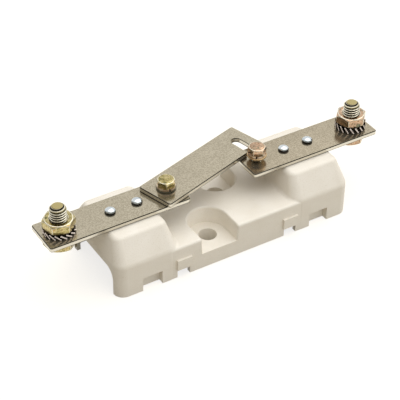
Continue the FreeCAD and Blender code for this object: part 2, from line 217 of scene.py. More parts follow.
def yellowPassivatedZinc(name, stops):  # bright zinc plate in a yellow dip: gold with green and rose patches
    look = zincLook
    material, tree, coords = startMaterial(name)
    patches = addNode(tree, "ShaderNodeTexNoise", inputs={
        "Vector": coords, "Scale": 1 / (look["patchSize"] * mm), "Detail": 3.0, "Roughness": 0.6,
        "Distortion": 0.4})
    specks = addNode(tree, "ShaderNodeTexNoise", inputs={
        "Vector": coords, "Scale": 1 / (look["pitSize"] * mm), "Detail": 2.0})
    dipped = addNode(tree, "ShaderNodeValToRGB", inputs={"Fac": patches}, stops=stops)
    pits = addNode(tree, "ShaderNodeValToRGB", inputs={"Fac": specks}, stops=look["pitStops"])
    colour = addNode(tree, "ShaderNodeMix", {"data_type": "RGBA", "blend_type": "MULTIPLY"}, {
        "Factor": look["pitStrength"], beneath: dipped, onTop: pits})
    point, groove = (addNode(tree, "ShaderNodeAttribute", {"attribute_name": mark}).outputs["Fac"]
                     for mark in ("point", "groove"))
    # where the threads get their painted highlight and their roots their painted shade
    threadHighlight, deep = (
        addNode(tree, "ShaderNodeMapRange", inputs={"Value": groove, "From Min": low, "From Max": high})
        for low, high in (look["threadHighlightFrom"], look["rootShadeFrom"]))
    # the last layer is painted shade in the thread's roots
    for mask, paint in ((point, "point"), (threadHighlight, "thread"), (deep, "root")):
        colour = addNode(tree, "ShaderNodeMix", {"data_type": "RGBA"}, {
            "Factor": mask, beneath: colour, onTop: linearColour(look[paint])})
    sheen = addNode(tree, "ShaderNodeMapRange", inputs={
        "Value": specks, "From Min": noiseLow, "From Max": noiseHigh,
        "To Min": look["roughness"][0], "To Max": look["roughness"][1]})
    sawn = addNode(tree, "ShaderNodeMath", {"operation": "MULTIPLY"}, [point, look["pointRoughness"]])
    dull = addNode(tree, "ShaderNodeMath", {"operation": "MAXIMUM"}, [sheen, sawn])
    bump = addNode(tree, "ShaderNodeBump", inputs={
        "Height": specks, "Strength": 0.35, "Distance": look["pitHeight"] * mm})
    return finishMaterial(material, {
        "Base Color": colour, "Metallic": 1.0, "Roughness": dull, "Normal": bump})


toothLook = {
    "patchSize": 1.5,  # mm, worn places in the dark plate
    "flankStops": [(0.35, "#40372E"), (0.65, "#6E6152")],
    # the sheared ends are bare steel; their near-white colour is a painted reflection
    "end": "#FBF0E9",
    "endRadius": 9.42,  # mm from the stud's axis, just inside the sheared ends
    "endFade": 0.05,
    "metallic": (1.0, 0.15),  # flank and end
    "roughness": (0.25, 0.4),
}


def shearedSpringSteel():  # toothed washers: dark plated flanks, and ends sheared bare, painted near-white as a painted reflection
    look = toothLook
    stud = middleX("lock_washer_right") * mm  # the left one is as far on the other side
    material, tree, coords = startMaterial("shearedSpringSteel")
    place = addNode(tree, "ShaderNodeSeparateXYZ", inputs=[coords]).outputs
    outward = addNode(tree, "ShaderNodeMath", {"operation": "ABSOLUTE"}, [place["X"]])
    across = addNode(tree, "ShaderNodeMath", {"operation": "SUBTRACT"}, [outward, stud])
    square = addNode(tree, "ShaderNodeMath", {"operation": "POWER"}, [place["Y"], 2.0])
    both = addNode(tree, "ShaderNodeMath", {"operation": "MULTIPLY_ADD"}, [across, across, square])
    radius = addNode(tree, "ShaderNodeMath", {"operation": "SQRT"}, [both])
    atEnd = addNode(tree, "ShaderNodeMapRange", inputs={
        "Value": radius, "From Min": (look["endRadius"] - look["endFade"]) * mm,
        "From Max": look["endRadius"] * mm})
    patches = addNode(tree, "ShaderNodeTexNoise", inputs={
        "Vector": coords, "Scale": 1 / (look["patchSize"] * mm), "Detail": 2.0})
    flank = addNode(tree, "ShaderNodeValToRGB", inputs={"Fac": patches}, stops=look["flankStops"])
    # painted reflection: near-white on the teeth's sheared ends
    colour = addNode(tree, "ShaderNodeMix", {"data_type": "RGBA"}, {
        "Factor": atEnd, beneath: flank, onTop: linearColour(look["end"])})
    bare, matt = (
        addNode(tree, "ShaderNodeMapRange", inputs={"Value": atEnd, "To Min": inner, "To Max": outer})
        for inner, outer in (look["metallic"], look["roughness"]))
    return finishMaterial(material, {"Base Color": colour, "Metallic": bare, "Roughness": matt})


plainPlates = {
    # pale bright zinc on edges where the yellow dip has worn off, also a painted highlight where the edges
    # catch the light
    "edgeWearAndHighlight": {"name": "wornZincEdgeAndHighlight", "pale": "#EBE5D3", "deep": "#D6CFB9", "roughness": 0.3},
    # nickel, the brightest and bluest: polished domes, with painted shade on the rim up to 40.1 mm
    "rivet": {"name": "brightNickelRivet", "pale": "#D9DEE0", "deep": "#BCC4C8", "roughness": 0.1,
              "shadedBelow": 40.1},
    # tumbled spring steel: warm, pale and matt
    "spring": {"name": "springSteelWasher", "pale": "#F0E2CE", "deep": "#B3977A", "roughness": 0.32},
    # zinc gone dark, and zinc with the yellow dip still on it
    "washerLeft": {"name": "dullZincWasher", "pale": "#7C7868", "deep": "#3D3C33", "roughness": 0.18},
    "washerRight": {"name": "yellowZincWasher", "pale": "#DCC299", "deep": "#A98A62", "roughness": 0.2},
}
plateWearAndRimShade = {
    "patchSize": 3.0,  # mm, dull patches
    "stops": (0.32, 0.68),
    # painted shade for the rivets' rims
    "dull": "#35352F",
    "shadeFade": 0.15,
    "roughnessRange": (0.7, 1.4),  # of the plate's own roughness
}


def brightPlate(look):  # straight from the bath: clear reflections, with dull patches
    wear = plateWearAndRimShade
    material, tree, coords = startMaterial(look["name"])
    patches = addNode(tree, "ShaderNodeTexNoise", inputs={
        "Vector": coords, "Scale": 1 / (wear["patchSize"] * mm), "Detail": 3.0})
    colour = addNode(tree, "ShaderNodeValToRGB", inputs={"Fac": patches},
                     stops=list(zip(wear["stops"], (look["deep"], look["pale"]))))
    # painted shade: the rim darkened below the given height
    if "shadedBelow" in look:
        height = addNode(tree, "ShaderNodeSeparateXYZ", inputs=[coords]).outputs["Z"]
        low = addNode(tree, "ShaderNodeMapRange", inputs={
            "Value": height, "From Min": (look["shadedBelow"] + wear["shadeFade"]) * mm,
            "From Max": (look["shadedBelow"] - wear["shadeFade"]) * mm})
        colour = addNode(tree, "ShaderNodeMix", {"data_type": "RGBA"}, {
            "Factor": low, beneath: colour, onTop: linearColour(wear["dull"])})
    smooth, rough = (look["roughness"] * share for share in wear["roughnessRange"])
    sheen = addNode(tree, "ShaderNodeMapRange", inputs={
        "Value": patches, "From Min": noiseLow, "From Max": noiseHigh, "To Min": smooth, "To Max": rough})
    return finishMaterial(material, {"Base Color": colour, "Metallic": 1.0, "Roughness": sheen})


finishes = {finish: brightPlate(look) for finish, look in plainPlates.items()}
finishes.update({
    "moulding": creamMouldingCompound(),
    "barLeft": tinPlatedCopper("tinPlatedCopperLeft", 0),
    "barRight": tinPlatedCopper("tinPlatedCopperRight", 0, "#F2EFEC"),
    "link": tinPlatedCopper("tinPlatedCopperLink", 17),  # degrees, as the link is swung open
    "goldZinc": yellowPassivatedZinc("yellowZincGold", zincLook["goldStops"]),
    "roseZinc": yellowPassivatedZinc("yellowZincRose", zincLook["roseStops"]),
    "toothed": shearedSpringSteel(),
})
dipShade = {"left": "goldZinc", "right": "roseZinc"}
print("materials ready:", len(finishes))


# mesh helpers

def newPiece(name, mesh, finish, body, node):
    piece = bpy.data.objects.new(name, mesh)
    bpy.context.scene.collection.objects.link(piece)
    if len(mesh.materials):  # clearing also puts every face back on the first slot
        mesh.materials.clear()
    mesh.materials.append(finishes[finish])
    if finish in dipShade.values():
        # the second slot: worn edges with a painted highlight
        mesh.materials.append(finishes["edgeWearAndHighlight"])
    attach(piece, body)
    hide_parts(node)
    return piece


def shadeByAngle(mesh, angle=35):  # faces that meet at less than this are shaded as one
    mesh.polygons.foreach_set("use_smooth", [True] * len(mesh.polygons))
    mesh.set_sharp_from_angle(angle=math.radians(angle))


def meshFromWork(work, name):
    mesh = bpy.data.meshes.new(name)
    work.to_mesh(mesh)
    work.free()
    return mesh


weld = {"packed": 0.001, "made": 0.0001}  # mm, corners nearer than this are one
flatWithin = 0.4  # degrees


def meshFromNode(node):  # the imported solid, with its loose triangles joined up and flat faces made whole
    work = bmesh.new()
    work.from_mesh(cadNodes[node].data)
    bmesh.ops.remove_doubles(work, verts=work.verts, dist=weld["packed"] * mm)
    bmesh.ops.dissolve_limit(work, angle_limit=math.radians(flatWithin), verts=work.verts, edges=work.edges)
    return meshFromWork(work, node + "Mesh")


def softenEdges(piece, width, segments, angle, edgeSlot=-1):  # edgeSlot -1 keeps the faces' own material
    bevel = piece.modifiers.new("softEdges", "BEVEL")
    bevel.width = width * mm
    bevel.segments = segments
    bevel.limit_method = "ANGLE"
    bevel.angle_limit = math.radians(angle)
    bevel.miter_outer = "MITER_ARC"
    bevel.material = edgeSlot
    done = bpy.data.meshes.new_from_object(piece.evaluated_get(bpy.context.evaluated_depsgraph_get()))
    piece.modifiers.clear()
    piece.data = done
    shadeByAngle(piece.data)


def evenNormals(piece):
    weighted = piece.modifiers.new("evenNormals", "WEIGHTED_NORMAL")
    weighted.keep_sharp = True


def ringMesh(name, rings, closedLoop=False):  # rings: lists of points, all the same count
    work = bmesh.new()
    rows = [[work.verts.new(point) for point in ring] for ring in rings]
    pairs = list(zip(rows, rows[1:])) + ([(rows[-1], rows[0])] if closedLoop else [])
    around = len(rings[0])
    for low, high in pairs:
        for i in range(around):
            j = (i + 1) % around
            work.faces.new((low[i], low[j], high[j], high[i]))
    bmesh.ops.remove_doubles(work, verts=work.verts, dist=weld["made"] * mm)
    bmesh.ops.dissolve_degenerate(work, edges=work.edges, dist=weld["made"] * mm)
    bmesh.ops.recalc_face_normals(work, faces=work.faces)
    return meshFromWork(work, name)


def lathe(name, profile, x, around=96, closedLoop=True):  # profile: (radius, height) pairs in mm
    angles = [2 * math.pi * i / around for i in range(around)]
    rings = [[Vector((x + r * math.cos(a), r * math.sin(a), z)) * mm for a in angles] for r, z in profile]
    return ringMesh(name, rings, closedLoop)


hexShape = {
    "around": 120,  # a multiple of six, so that every corner has a point
    "faceRadius": 0.475,  # of the width over flats, where the corners start to slope
    "cornerSlope": 30,  # degrees
    "countersink": 0.5,  # mm
}


def hexBody(name, x, low, high, flats, turn, bore=None, chamferLow=True, chamferHigh=True):
    angles = [2 * math.pi * i / hexShape["around"] for i in range(hexShape["around"])]
    face = hexShape["faceRadius"] * flats
    slope = math.tan(math.radians(hexShape["cornerSlope"]))
    turned = math.radians(turn)

    def ring(radiusAt, heightAt):
        points = []
        for a in angles:
            radius = radiusAt(a)
            points.append(Vector((x + radius * math.cos(a + turned), radius * math.sin(a + turned),
                                  heightAt(radius))) * mm)
        return points

    def corner(a):  # the hexagon's own outline, with a corner at 0
        return flats / 2 / math.cos(a % (math.pi / 3) - math.pi / 6)

    rings = [
        ring(lambda a: min(face, corner(a)), lambda r: high),
        ring(corner, lambda r: high - max(0, r - face) * slope * chamferHigh),
        ring(corner, lambda r: low + max(0, r - face) * slope * chamferLow),
        ring(lambda a: min(face, corner(a)), lambda r: low)]
    if bore:
        sink = hexShape["countersink"]
        mouth = bore + sink
        rings = [ring(lambda a: bore, lambda r: high - sink), ring(lambda a: mouth, lambda r: high), *rings,
                 ring(lambda a: mouth, lambda r: low), ring(lambda a: bore, lambda r: low + sink)]
    else:
        rings = [ring(lambda a: 0, lambda r: high), *rings, ring(lambda a: 0, lambda r: low)]
    return ringMesh(name, rings, closedLoop=bool(bore))


def headWithEdgeWearAndHighlight(mesh, edges):  # a head with its edges rounded, worn and given a painted highlight, ready to join to its shank
    holder = bpy.data.objects.new("head", mesh)
    bpy.context.scene.collection.objects.link(holder)
    for finish in (dipShade["left"], "edgeWearAndHighlight"):  # only the slots count here
        mesh.materials.append(finishes[finish])
    softenEdges(holder, **edges)
    worn = holder.data
    bpy.data.objects.remove(holder)
    return worn


def joinMeshes(name, meshes):
    work = bmesh.new()
    for mesh in meshes:
        work.from_mesh(mesh)
    return meshFromWork(work, name)


# threads and toothed washers, by Geometry Nodes

def treeWithInputs(name, sockets):
    tree = bpy.data.node_groups.new(name, "GeometryNodeTree")
    for socket, kind in sockets.items():
        tree.interface.new_socket(name=socket, in_out="INPUT", socket_type="NodeSocket" + kind)
    tree.interface.new_socket(name="Geometry", in_out="OUTPUT", socket_type="NodeSocketGeometry")
    given = addNode(tree, "NodeGroupInput").outputs
    return tree, given


def finishTree(tree, geometry, given):
    real = addNode(tree, "GeometryNodeRealizeInstances", inputs=[geometry])
    coated = addNode(tree, "GeometryNodeSetMaterial", inputs={"Geometry": real, "Material": given["Finish"]})
    addNode(tree, "NodeGroupOutput", inputs=[coated])
    return tree


threadForm = {
    "depth": 0.6134,  # of the pitch, as on a metric thread
    "rootTo": 0.13,  # of half a turn: the flank runs from the end of the root
    "crestFrom": 0.88,  # to the start of the crest
    "onPoint": 0.3,  # how much of the groove the pointed end keeps
    "crestMark": 0.2,  # the groove value on a crest
    "around": 73,
    "rowsPerTurn": 14,
    "weld": 0.002,  # mm
}


def threadTree():
    form = threadForm
    tree, given = treeWithInputs("threadedShank", {
        "Radius": "Float", "Pitch": "Float", "Depth": "Float", "Length": "Float", "Tip": "Float",
        "Around": "Int", "Rows": "Int", "Turn Over": "Float", "Place": "Vector", "Finish": "Material"})
    grid = addNode(tree, "GeometryNodeMeshGrid", inputs={
        "Size X": 1.0, "Size Y": 1.0, "Vertices X": given["Around"], "Vertices Y": given["Rows"]})
    position = addNode(tree, "GeometryNodeInputPosition")
    spot = addNode(tree, "ShaderNodeSeparateXYZ", inputs=[position]).outputs
    angle = addNode(tree, "ShaderNodeMath", {"operation": "MULTIPLY_ADD"}, [spot["X"], 2 * math.pi, math.pi])
    share = addNode(tree, "ShaderNodeMath", {"operation": "ADD"}, [spot["Y"], 0.5])
    # the first and last rows of the grid close the shank's ends, and the rows between climb it
    gaps = addNode(tree, "ShaderNodeMath", {"operation": "SUBTRACT"}, [given["Rows"], 1.0])
    step = addNode(tree, "ShaderNodeMath", {"operation": "DIVIDE"}, [1.0, gaps])
    last = addNode(tree, "ShaderNodeMath", {"operation": "SUBTRACT"}, [1.0, step])
    height = addNode(tree, "ShaderNodeMapRange", inputs={
        "Value": share, "From Min": step, "From Max": last, "To Min": 0.0, "To Max": given["Length"]})
    startCap = addNode(tree, "ShaderNodeMapRange", inputs={"Value": share, "From Min": 0.0, "From Max": step})
    endCap = addNode(tree, "ShaderNodeMapRange", inputs={
        "Value": share, "From Min": last, "From Max": 1.0, "To Min": 1.0, "To Max": 0.0})
    cap = addNode(tree, "ShaderNodeMath", {"operation": "MINIMUM"}, [startCap, endCap])
    # the groove: a triangle wave with its root and crest cut flat
    climbed = addNode(tree, "ShaderNodeMath", {"operation": "DIVIDE"}, [height, given["Pitch"]])
    turned = addNode(tree, "ShaderNodeMath", {"operation": "DIVIDE"}, [angle, 2 * math.pi])
    phase = addNode(tree, "ShaderNodeMath", {"operation": "SUBTRACT"}, [climbed, turned])
    sawtooth = addNode(tree, "ShaderNodeMath", {"operation": "FRACT"}, [phase])
    slope = addNode(tree, "ShaderNodeMath", {"operation": "MULTIPLY_ADD"}, [sawtooth, 2.0, -1.0])
    wave = addNode(tree, "ShaderNodeMath", {"operation": "ABSOLUTE"}, [slope])
    groove = addNode(tree, "ShaderNodeMapRange", inputs={
        "Value": wave, "From Min": form["rootTo"], "From Max": form["crestFrom"],
        "To Min": given["Depth"], "To Max": 0.0})
    thread = addNode(tree, "ShaderNodeMath", {"operation": "SUBTRACT"}, [given["Radius"], groove])
    # the pointed end: a cone that keeps a little of the groove
    tipStart = addNode(tree, "ShaderNodeMath", {"operation": "SUBTRACT"}, [given["Length"], given["Tip"]])
    beyond = addNode(tree, "ShaderNodeMath", {"operation": "SUBTRACT"}, [height, tipStart])
    bareCone = addNode(tree, "ShaderNodeMath", {"operation": "SUBTRACT"}, [given["Radius"], beyond])
    cone = addNode(tree, "ShaderNodeMath", {"operation": "MULTIPLY_ADD"}, [
        groove, -form["onPoint"], bareCone])
    onPoint = addNode(tree, "ShaderNodeMath", {"operation": "GREATER_THAN"}, [height, tipStart])
    narrower = addNode(tree, "ShaderNodeMath", {"operation": "MINIMUM"}, [thread, cone])
    radius = addNode(tree, "ShaderNodeMath", {"operation": "MULTIPLY"}, [narrower, cap])
    cosine = addNode(tree, "ShaderNodeMath", {"operation": "COSINE"}, [angle])
    sine = addNode(tree, "ShaderNodeMath", {"operation": "SINE"}, [angle])
    x = addNode(tree, "ShaderNodeMath", {"operation": "MULTIPLY"}, [radius, cosine])
    y = addNode(tree, "ShaderNodeMath", {"operation": "MULTIPLY"}, [radius, sine])
    place = addNode(tree, "ShaderNodeCombineXYZ", inputs=[x, y, height])
    # what the finish reads: how deep in the groove, 0 off the thread, and whether on the point
    depth = addNode(tree, "ShaderNodeMath", {"operation": "DIVIDE"}, [groove, given["Depth"]])
    marked = addNode(tree, "ShaderNodeMath", {"operation": "MULTIPLY_ADD"}, [
        depth, 1 - form["crestMark"], form["crestMark"]])
    eased = addNode(tree, "ShaderNodeMath", {"operation": "MULTIPLY"}, [onPoint, form["crestMark"]])
    sunk = addNode(tree, "ShaderNodeMath", {"operation": "SUBTRACT"}, [marked, eased])
    halfStep = addNode(tree, "ShaderNodeMath", {"operation": "MULTIPLY"}, [step, 0.5])
    capStart = addNode(tree, "ShaderNodeMath", {"operation": "SUBTRACT"}, [last, halfStep])
    onThread = addNode(tree, "ShaderNodeMath", {"operation": "LESS_THAN"}, [share, capStart])
    grooveMark = addNode(tree, "ShaderNodeMath", {"operation": "MULTIPLY"}, [sunk, onThread])
    formed = grid
    for name, value in (("groove", grooveMark), ("point", onPoint)):
        formed = addNode(tree, "GeometryNodeStoreNamedAttribute", {"data_type": "FLOAT", "domain": "POINT"}, {
            "Geometry": formed, "Name": name, "Value": value})
    formed = addNode(tree, "GeometryNodeSetPosition", inputs={"Geometry": formed, "Position": place})
    formed = addNode(tree, "GeometryNodeMergeByDistance", inputs={
        "Geometry": formed, "Distance": form["weld"] * mm})
    turnOver = addNode(tree, "ShaderNodeCombineXYZ", inputs={"X": given["Turn Over"]})
    moved = addNode(tree, "GeometryNodeTransform", inputs={
        "Geometry": formed, "Translation": given["Place"], "Rotation": turnOver})
    return finishTree(tree, moved, given)


def toothedWasherTree():
    tree, given = treeWithInputs("toothedWasher", {
        "Teeth": "Int", "Bore": "Float", "Ring": "Float", "Root": "Float", "Tip": "Float",
        "Ring Thickness": "Float", "Ring Sides": "Int", "Root Width": "Float", "Tip Width": "Float",
        "Thickness": "Float", "Twist": "Float", "Place": "Vector", "Finish": "Material"})
    outer = addNode(tree, "GeometryNodeMeshCylinder", inputs={
        "Vertices": given["Ring Sides"], "Radius": given["Ring"], "Depth": given["Ring Thickness"]})
    through = addNode(tree, "ShaderNodeMath", {"operation": "MULTIPLY"}, [given["Ring Thickness"], 2.0])
    inner = addNode(tree, "GeometryNodeMeshCylinder", inputs={
        "Vertices": given["Ring Sides"], "Radius": given["Bore"], "Depth": through})
    ring = addNode(tree, "GeometryNodeMeshBoolean", {"operation": "DIFFERENCE"}, {
        "Mesh 1": outer, "Mesh 2": inner})
    toothSize = addNode(tree, "ShaderNodeCombineXYZ", inputs=[1.0, 1.0, given["Thickness"]])
    tooth = addNode(tree, "GeometryNodeMeshCube", inputs={
        "Size": toothSize, "Vertices X": 4, "Vertices Y": 3, "Vertices Z": 2})
    position = addNode(tree, "GeometryNodeInputPosition")
    spot = addNode(tree, "ShaderNodeSeparateXYZ", inputs=[position]).outputs
    share = addNode(tree, "ShaderNodeMath", {"operation": "ADD"}, [spot["X"], 0.5])
    reach, width = (
        addNode(tree, "ShaderNodeMapRange", inputs={
            "Value": share, "To Min": given["Root" + size], "To Max": given["Tip" + size]})
        for size in ("", " Width"))
    spread = addNode(tree, "ShaderNodeMath", {"operation": "MULTIPLY"}, [spot["Y"], width])
    flared = addNode(tree, "ShaderNodeCombineXYZ", inputs=[reach, spread, spot["Z"]])
    toothOut = addNode(tree, "GeometryNodeSetPosition", inputs={"Geometry": tooth, "Position": flared})
    points = addNode(tree, "GeometryNodePoints", inputs={"Count": given["Teeth"]})
    index = addNode(tree, "GeometryNodeInputIndex")
    turns = addNode(tree, "ShaderNodeMath", {"operation": "MULTIPLY"}, [index, 2 * math.pi])
    spin = addNode(tree, "ShaderNodeMath", {"operation": "DIVIDE"}, [turns, given["Teeth"]])
    turn = addNode(tree, "ShaderNodeCombineXYZ", inputs={"X": given["Twist"], "Z": spin})
    teeth = addNode(tree, "GeometryNodeInstanceOnPoints", inputs={
        "Points": points, "Instance": toothOut, "Rotation": turn})
    both = addNode(tree, "GeometryNodeJoinGeometry", inputs=[ring])
    tree.links.new(teeth.outputs["Instances"], both.inputs["Geometry"])
    moved = addNode(tree, "GeometryNodeTransform", inputs={"Geometry": both, "Translation": given["Place"]})
    return finishTree(tree, moved, given)


def meshFromTree(name, tree, values):
    holder = bpy.data.objects.new(name, bpy.data.meshes.new(name))
    bpy.context.scene.collection.objects.link(holder)
    builder = holder.modifiers.new("build", "NODES")
    builder.node_group = tree
    for socket in tree.interface.items_tree:
        if socket.in_out == "INPUT":
            builder[socket.identifier] = values[socket.name]
    mesh = bpy.data.meshes.new_from_object(holder.evaluated_get(bpy.context.evaluated_depsgraph_get()))
    bpy.data.objects.remove(holder)
    return mesh


threadMaker = threadTree()
toothMaker = toothedWasherTree()


def threadedShank(x, start, length, shape, finish, down=False):
    pitch = shape["pitch"]
    rows = int(length / pitch * threadForm["rowsPerTurn"]) + 1
    mesh = meshFromTree("shank", threadMaker, {
        "Radius": shape["threadRadius"] * mm, "Pitch": pitch * mm, "Depth": threadForm["depth"] * pitch * mm,
        "Length": length * mm, "Tip": shape["tip"] * mm,
        "Around": threadForm["around"], "Rows": rows + 2,  # two more close the ends
        "Turn Over": math.pi if down else 0.0, "Place": (x * mm, 0, start * mm), "Finish": finishes[finish]})
    mesh.materials.clear()  # the whole piece gets its finish once the head is joined on
    return mesh


def headedPiece(name, node, shank, head, shape, finish):
    mesh = joinMeshes(name, [shank, headWithEdgeWearAndHighlight(head, shape["edges"])])
    piece = newPiece(name, mesh, finish, "base", node)
    shadeByAngle(piece.data, shape["sharpAngle"])


def nutPiece(name, node, x, turn, shape, finish):
    low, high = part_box(node)
    mesh = hexBody("nut", x, low.z / mm, high.z / mm, shape["flats"], turn,
                   bore=shape["threadRadius"] + shape["nutGap"])
    piece = newPiece(name, mesh, finish, "base", node)
    softenEdges(piece, **shape["edges"])


# base moulding

mouldingEdges = {"width": 0.3, "segments": 2, "angle": 38}  # mm and degrees, as in all that follows
base = newPiece("baseMoulding", meshFromNode("base"), "moulding", "base", "base")
softenEdges(base, **mouldingEdges)
evenNormals(base)
print("base moulding:", len(base.data.polygons), "faces")

# bars and link

plateEdges = {"width": 0.05, "segments": 1, "angle": 25}
plates = (
    ("barLeft", "bar_left", "barLeft", "base"),
    ("slottedLink", "link", "link", "link"),
    ("barRight", "bar_right", "barRight", "base"),
)
for name, node, finish, body in plates:
    plate = newPiece(name, meshFromNode(node), finish, body, node)
    softenEdges(plate, **plateEdges)
    evenNormals(plate)
print("bars and link ready")

# rivets

rivetShape = {
    "headRadius": 3.3, "headHeight": 2.6, "rim": 0.9, "rimChamfer": 0.15, "shank": 1.9,
    "tailRadius": 3.2, "tailHeight": 1.6, "tailTaper": 0.2, "tailShoulder": 0.9,
    "domeSteps": 20, "around": 64, "sharpAngle": 40,
}


def rivetMesh(node):
    shape = rivetShape
    low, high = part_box(node)
    wide, tall, rim, shank, tail = (
        shape[part] for part in ("headRadius", "headHeight", "rim", "shank", "tailRadius"))
    seat = high.z / mm - tall
    foot = low.z / mm
    shoulder = foot + shape["tailHeight"]
    quarter = [math.pi / 2 * i / shape["domeSteps"] for i in range(shape["domeSteps"] + 1)]
    profile = [(wide * math.sin(a), seat + rim + (tall - rim) * math.cos(a)) for a in quarter]
    profile += [(wide, seat + shape["rimChamfer"]), (wide - shape["rimChamfer"], seat), (shank, seat),
                (shank, shoulder), (tail, shoulder),
                (tail - shape["tailTaper"], foot + shape["tailShoulder"]), (shank, foot), (0, foot)]
    return lathe(node, profile, middleX(node), around=shape["around"], closedLoop=False)


for side in sides:
    for place in ("inner", "outer"):
        node = "rivet_" + side + "_" + place
        mesh = rivetMesh(node)
        shadeByAngle(mesh, rivetShape["sharpAngle"])
        newPiece("rivet" + side.title() + place.title(), mesh, "rivet", "base", node)
print("rivets ready")

# terminal bolts, nuts and washers

terminal = {
    "threadRadius": 5.0, "tip": 1.8,
    "pitch": 1.65,  # a little coarser than the real 1.5, so that it shows
    "flats": 17.0, "headHeight": 6.4, "headTurn": -18.0,
    "nutTurn": {"left": -18.0, "right": -14.0}, "nutGap": 0.02,
    "edges": {"width": 0.3, "segments": 2, "angle": 20, "edgeSlot": 1},  # slot 1 is the worn zinc and painted edge highlight
    "sharpAngle": 30,
}
toothShape = {
    "count": 18, "bore": 5.25, "ring": 7.0, "ringThickness": 0.9, "ringSides": 96, "root": 6.5, "tip": 9.55,
    "rootWidth": 2.4, "tipWidth": 4.7, "thickness": 0.78,
    "twist": {"left": 37.4, "right": 56.5},  # the left washer is pressed flatter
    "edges": {"width": 0.12, "segments": 1, "angle": 40},
}


for side in sides:
    boltNode, nutNode, toothNode = (
        part + side for part in ("terminal_bolt_", "terminal_nut_", "lock_washer_"))
    x = middleX(boltNode)
    finish = dipShade[side]
    foot, end = (corner.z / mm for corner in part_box(boltNode))
    seat = foot + terminal["headHeight"]
    shank = threadedShank(x, seat, end - seat, terminal, finish)
    head = hexBody("head", x, foot, seat, terminal["flats"], terminal["headTurn"], chamferHigh=False)
    headedPiece("terminalBolt" + side.title(), boltNode, shank, head, terminal, finish)
    nutPiece("terminalNut" + side.title(), nutNode, x, terminal["nutTurn"][side], terminal, finish)
    toothLow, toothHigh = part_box(toothNode)
    middle = (toothLow.z + toothHigh.z) / 2
    mesh = meshFromTree("toothed", toothMaker, {
        "Teeth": toothShape["count"], "Bore": toothShape["bore"] * mm, "Ring": toothShape["ring"] * mm,
        "Root": toothShape["root"] * mm, "Tip": toothShape["tip"] * mm,
        "Ring Thickness": toothShape["ringThickness"] * mm, "Ring Sides": toothShape["ringSides"],
        "Root Width": toothShape["rootWidth"] * mm, "Tip Width": toothShape["tipWidth"] * mm,
        "Thickness": toothShape["thickness"] * mm, "Twist": -math.radians(toothShape["twist"][side]),
        "Place": (x * mm, 0, middle), "Finish": finishes["toothed"]})
    toothed = newPiece("lockWasher" + side.title(), mesh, "toothed", "base", toothNode)
    softenEdges(toothed, **toothShape["edges"])
print("terminal bolts ready")

# link screws, nuts and washers

screwShape = {
    "threadRadius": 3.0, "pitch": 1.0, "tip": 0.7, "flats": 10.0, "headHeight": 4.0,
    "turn": {"left": 4.0, "right": -25.0}, "nutGap": 0.02,
    "edges": {"width": 0.16, "segments": 2, "angle": 20, "edgeSlot": 1},
    "sharpAngle": 30,
}
smallWasher = {"radius": 6.0, "bore": 3.2, "thickness": 1.0, "round": 0.2, "chamfer": 0.1, "sharpAngle": 40}
springRing = {
    "radius": 5.6, "bore": 3.2, "thickness": 1.4, "bevel": 0.12, "rise": 0.12,
    "gap": 9.0, "gapTurn": -100,  # the gap's width, and its place from a corner of the head
    "around": 72, "sharpAngle": 30,
}


def washerMesh(name, x, low):
    shape = smallWasher
    rim, bore, edge, chamfer = (shape[part] for part in ("radius", "bore", "round", "chamfer"))
    top = low + shape["thickness"]
    profile = [(bore, low + chamfer), (bore + chamfer, low), (rim - chamfer, low), (rim, low + chamfer),
               (rim, top - edge)]
    profile += [(rim - edge + edge * math.cos(a), top - edge + edge * math.sin(a))
                for a in (math.pi / 6, math.pi / 3, math.pi / 2)]
    inset = 0.3 * edge  # the middle of the rounded edge of the bore
    profile += [(bore + edge, top), (bore + inset, top - inset), (bore, top - edge)]
    return lathe(name, profile, x)


def springWasherMesh(name, x, low, turn):  # a square-section coil of nearly one turn
    shape = springRing
    start = math.radians(turn + shape["gap"] / 2)
    sweep = math.radians(360 - shape["gap"])
    inner, outer, bevel = shape["bore"], shape["radius"], shape["bevel"]
    work = bmesh.new()
    rows = []
    for i in range(shape["around"] + 1):
        share = i / shape["around"]
        a = start + sweep * share
        bottom = low + shape["rise"] * share
        top = bottom + shape["thickness"] - shape["rise"]
        section = [(inner + bevel, bottom), (outer - bevel, bottom), (outer, bottom + bevel),
                   (outer, top - bevel), (outer - bevel, top), (inner + bevel, top),
                   (inner, top - bevel), (inner, bottom + bevel)]
        rows.append([work.verts.new(Vector((x + r * math.cos(a), r * math.sin(a), z)) * mm)
                     for r, z in section])
    for near, far in zip(rows, rows[1:]):
        for i in range(len(near)):
            j = (i + 1) % len(near)
            work.faces.new((near[i], near[j], far[j], far[i]))
    work.faces.new(rows[0][::-1])
    work.faces.new(rows[-1])
    bmesh.ops.recalc_face_normals(work, faces=work.faces)
    return meshFromWork(work, name)


for side in sides:
    screwNode, nutNode, washerNode, springNode = (
        part + side for part in ("link_screw_", "link_nut_", "link_washer_", "link_spring_washer_"))
    x = middleX(screwNode)
    finish = dipShade[side]
    turn = screwShape["turn"][side]
    end, top = (corner.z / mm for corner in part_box(screwNode))
    seat = top - screwShape["headHeight"]
    head = hexBody("head", x, seat, top, screwShape["flats"], turn, chamferLow=False)
    shank = threadedShank(x, seat, seat - end, screwShape, finish, down=True)
    headedPiece("linkScrew" + side.title(), screwNode, shank, head, screwShape, finish)
    nutPiece("linkNut" + side.title(), nutNode, x, turn, screwShape, finish)
    flatRing = washerMesh("smallWasher", x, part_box(washerNode)[0].z / mm)
    shadeByAngle(flatRing, smallWasher["sharpAngle"])
    newPiece("linkWasher" + side.title(), flatRing, "washer" + side.title(), "base",
             washerNode)
    splitRing = springWasherMesh("springWasher", x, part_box(springNode)[0].z / mm,
                                 turn + springRing["gapTurn"])
    shadeByAngle(splitRing, springRing["sharpAngle"])
    newPiece("linkSpringWasher" + side.title(), splitRing, "spring", "base", springNode)
print("link screws ready")


# floor, light and camera

